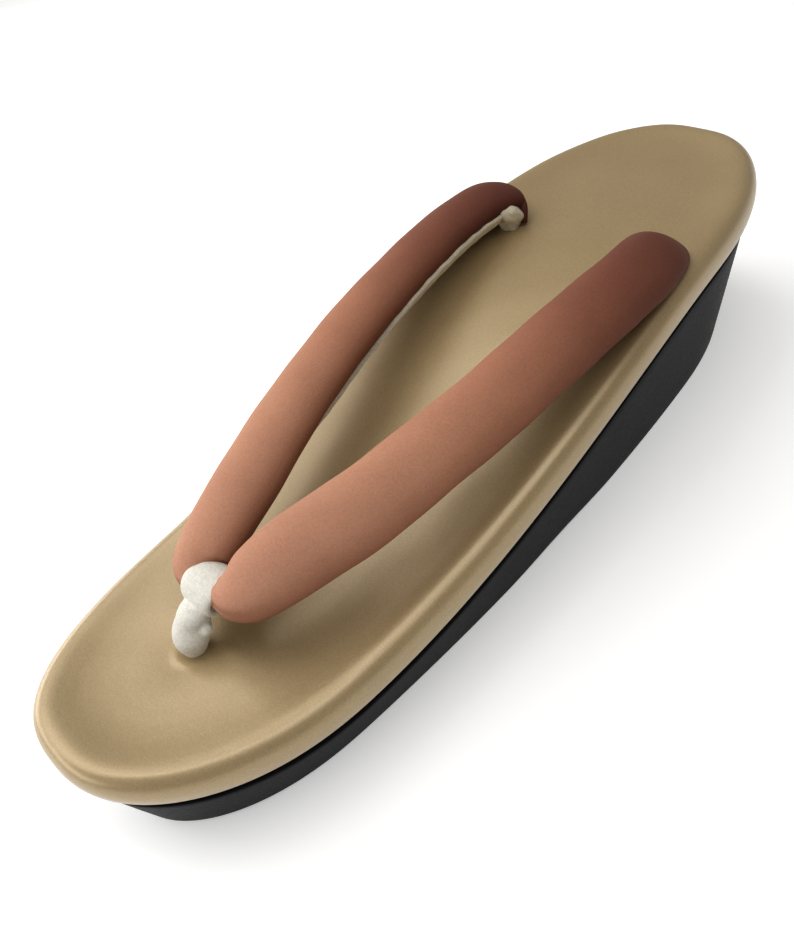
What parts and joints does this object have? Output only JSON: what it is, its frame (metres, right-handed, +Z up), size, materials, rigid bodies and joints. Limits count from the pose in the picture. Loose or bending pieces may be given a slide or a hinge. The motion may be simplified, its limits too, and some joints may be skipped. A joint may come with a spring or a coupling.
{
  "type": "zori sandal",
  "caption": "Flat-bottomed wedge sandal with a padded, roll-edged footbed and a soft V-shaped thong strap held by a cloth toe post.",
  "frame": {"origin": "bottom centre of the bounding box, on the floor", "axes": "+Y from the toe to the heel, +Z up, +X to the side; the toe is at -Y"},
  "size_m": [0.0756, 0.24, 0.0607],
  "materials": {
    "gold_film": "pearly champagne gold coated film over padding, satin, with a fine grain",
    "sole_rubber": "plain black rubber, matt",
    "strap_cloth": "matt fine-grained cloth shaded from peach at the toe to burgundy at the heel",
    "lining_cloth_left": "cream cloth, matt",
    "lining_cloth_right": "cream cloth, matt",
    "post_cloth": "white napped cloth, matt"
  },
  "bodies": {
    "root": {"footbed": "gold_film", "outsole": "sole_rubber", "straps": "strap_cloth", "lining_left": "lining_cloth_left", "lining_right": "lining_cloth_right", "toe_post": "post_cloth"}
  },
  "joints": []
}
